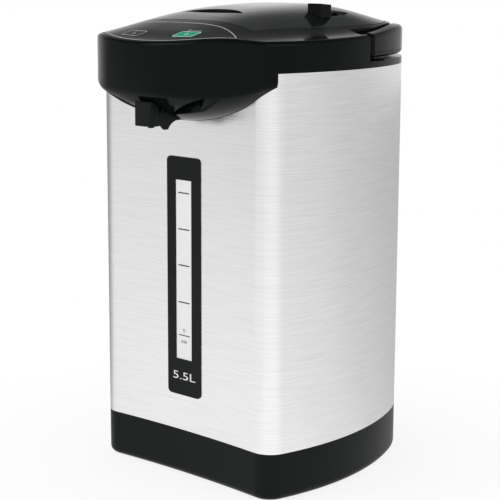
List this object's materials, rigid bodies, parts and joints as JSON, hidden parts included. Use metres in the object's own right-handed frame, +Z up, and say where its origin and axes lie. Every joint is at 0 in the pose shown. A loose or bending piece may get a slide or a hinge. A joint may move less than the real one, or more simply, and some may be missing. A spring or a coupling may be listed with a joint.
{
  "type": "electric thermo pot",
  "caption": "Electric thermo pot: brushed steel body, black domed head with lid, carry bail, push keys, level gauge and a spout with a cup lever.",
  "frame": {"origin": "on the table, under the middle of the overall footprint", "axes": "+Z up; the front, with the spout, faces -Y; +X is the right hand side for someone who looks at the front"},
  "size_m": [0.215, 0.272, 0.3931],
  "materials": {
    "steel_shell": "horizontally brushed",
    "black_gloss": "smooth semi-gloss",
    "black_base": "fine matt grain",
    "green_key": "smooth",
    "dark_key": "smooth",
    "clear_window": "clear to milky",
    "tank_steel": "satin",
    "silicone": "soft matt",
    "black_rubber": "matt",
    "white_plastic": "plain",
    "motor_metal": "plain",
    "pin_steel": "plain",
    "pin_brass": "plain",
    "board_green": "solder mask",
    "component_black": "plain"
  },
  "bodies": {
    "pot": {"base_housing": "black_base", "base_screws": "pin_steel", "board_parts": "component_black", "bottom_cover": "black_base", "button_board": "board_green", "control_panel": "black_gloss", "gauge_panel": "black_gloss", "gauge_tube": "clear_window", "gauge_window": "clear_window", "handle_pins": "pin_steel", "head_housing": "black_gloss", "head_screws": "pin_steel", "heater": "motor_metal", "hinge_pin": "pin_steel", "inlet_hose": "silicone", "inlet_pins": "pin_brass", "inner_tank": "tank_steel", "lever_pin": "pin_steel", "lever_switch": "component_black", "outer_shell": "steel_shell", "outlet_hose": "silicone", "power_board": "board_green", "power_inlet": "black_base", "pump_housing": "white_plastic", "pump_motor": "motor_metal", "rubber_feet": "black_rubber", "spout_body": "black_base", "spout_cover": "black_gloss", "spout_pipe": "white_plastic", "tact_switches": "component_black", "tank_collar": "white_plastic", "tank_seal": "silicone", "tank_skirt": "tank_steel", "thermostats": "motor_metal", "tie_rods": "tank_steel"},
    "lid": {"lid_cover": "black_gloss", "lid_liner": "tank_steel", "lid_gasket": "silicone", "steam_valve": "white_plastic", "lid_screws": "pin_steel"},
    "latch": {"lid_latch": "black_gloss"},
    "vent_knob": {"lid_knob": "black_gloss"},
    "handle": {"carry_handle": "black_gloss"},
    "dispense_key": {"dispense_button": "green_key"},
    "unlock_key": {"unlock_button": "dark_key"},
    "tap_lever": {"cup_lever": "black_gloss"},
    "pump_rotor": {"pump_impeller": "white_plastic", "motor_shaft": "pin_steel"}
  },
  "joints": [
    {"name": "lid_hinge", "type": "hinge", "parent": "pot", "child": "lid", "pos_m": [0, 0.1041, 0.37796], "axis": [-1, 0, 0], "range_deg": [0, 72]},
    {"name": "handle_swing", "type": "hinge", "parent": "pot", "child": "handle", "pos_m": [0, 0.0307, 0.3589], "axis": [1, 0, 0], "range_deg": [0, 105]},
    {"name": "latch_slide", "type": "slide", "parent": "lid", "child": "latch", "axis": [0, 1, 0], "range_m": [0, 0.003], "stiffness_N_per_m": 400, "springref_m": -0.002},
    {"name": "vent_knob_slide", "type": "slide", "parent": "lid", "child": "vent_knob", "axis": [0, 0.9996, 0.0297], "range_m": [0, 0.018]},
    {"name": "dispense_press", "type": "slide", "parent": "pot", "child": "dispense_key", "axis": [0, 0, -1], "range_m": [0, 0.0012], "stiffness_N_per_m": 600, "springref_m": -0.0005},
    {"name": "unlock_press", "type": "slide", "parent": "pot", "child": "unlock_key", "axis": [0, 0, -1], "range_m": [0, 0.0012], "stiffness_N_per_m": 600, "springref_m": -0.0005},
    {"name": "tap_lever_hinge", "type": "hinge", "parent": "pot", "child": "tap_lever", "pos_m": [0, -0.1145, 0.3158], "axis": [1, 0, 0], "range_deg": [0, 7], "stiffness_Nm_per_rad": 0.1, "springref_deg": -2.86},
    {"name": "pump_spin", "type": "hinge", "parent": "pot", "child": "pump_rotor", "pos_m": [0, -0.05, 0.024], "axis": [0, 0, 1], "continuous": true}
  ]
}
